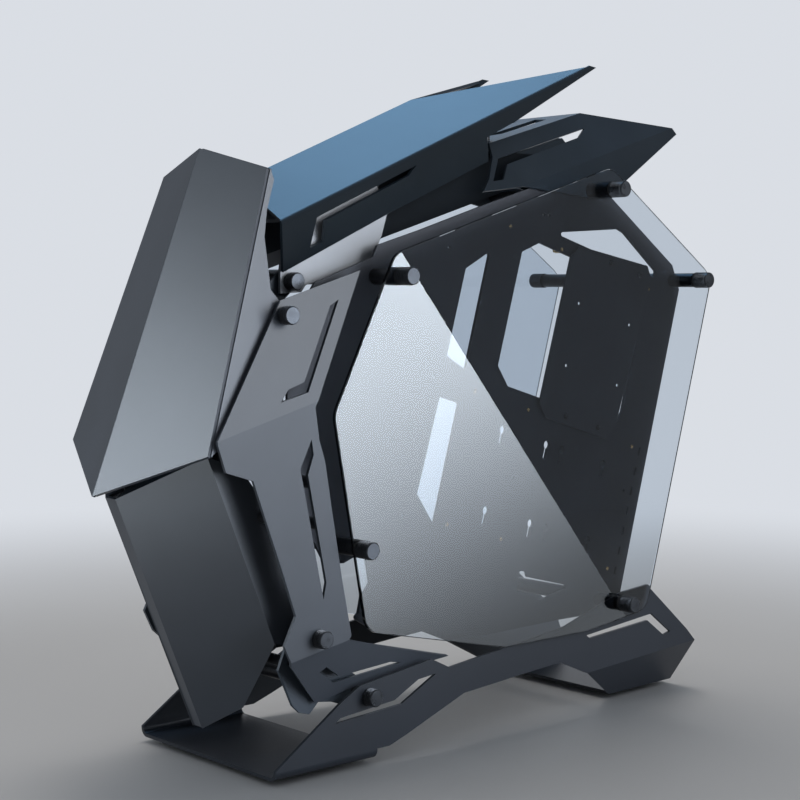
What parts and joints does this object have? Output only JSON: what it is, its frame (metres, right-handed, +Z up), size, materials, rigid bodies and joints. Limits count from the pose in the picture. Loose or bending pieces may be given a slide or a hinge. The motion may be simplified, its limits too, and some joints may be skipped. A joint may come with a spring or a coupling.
{
  "type": "big tower pc case",
  "caption": "Open-frame tower computer case of folded dark sheet, with a prow-shaped front, shaped glass sides held by thumb knobs, and a tilted board tray.",
  "frame": {"origin": "on the floor, at the centre of the bounding box's base", "axes": "+Z up, the front of the case faces -Y, +X is the side of the board tray, the near side in the picture"},
  "size_m": [0.248, 0.6585, 0.6232],
  "materials": {
    "front_panels": "fine satin powder coat",
    "panel_carrier": "fine satin powder coat",
    "top_cover": "fine satin powder coat",
    "top_bracket": "fine satin powder coat",
    "rear_wing": "fine satin powder coat",
    "side_plates": "fine satin powder coat",
    "base_frame": "fine satin powder coat",
    "motherboard_tray": "fine satin powder coat",
    "drive_plate": "fine satin powder coat",
    "inner_brackets": "fine satin powder coat",
    "slot_covers": "fine satin powder coat",
    "glass": "clear tempered glass with a faint grey tint",
    "posts": "black anodised",
    "knobs": "black anodised",
    "hardware": "black anodised",
    "standoffs": "bare brass",
    "washers": "matt black",
    "rubber": "matt black"
  },
  "bodies": {
    "root": {"upper_front_panel": "front_panels", "lower_front_panel": "front_panels", "panel_carrier": "panel_carrier", "top_cover": "top_cover", "top_bracket": "top_bracket", "top_rails": "inner_brackets", "rear_wing": "rear_wing", "right_side_plate": "side_plates", "left_side_plate": "side_plates", "base_frame": "base_frame", "rubber_feet": "rubber", "motherboard_tray": "motherboard_tray", "drive_plate": "drive_plate", "drive_plate_spacers": "hardware", "right_glass": "glass", "left_glass": "glass", "right_glass_posts": "posts", "left_glass_posts": "posts", "glass_washers": "washers", "glass_knobs": "knobs", "cross_rods": "posts", "frame_knobs": "knobs", "foot_links": "inner_brackets", "stay_bar": "posts", "rod_links": "inner_brackets", "fan_bracket": "inner_brackets", "tray_spacers": "hardware", "panel_spacers": "hardware", "cover_posts": "hardware", "motherboard_standoffs": "standoffs", "expansion_bracket": "inner_brackets", "slot_covers": "slot_covers", "psu_bracket": "inner_brackets"}
  },
  "joints": []
}
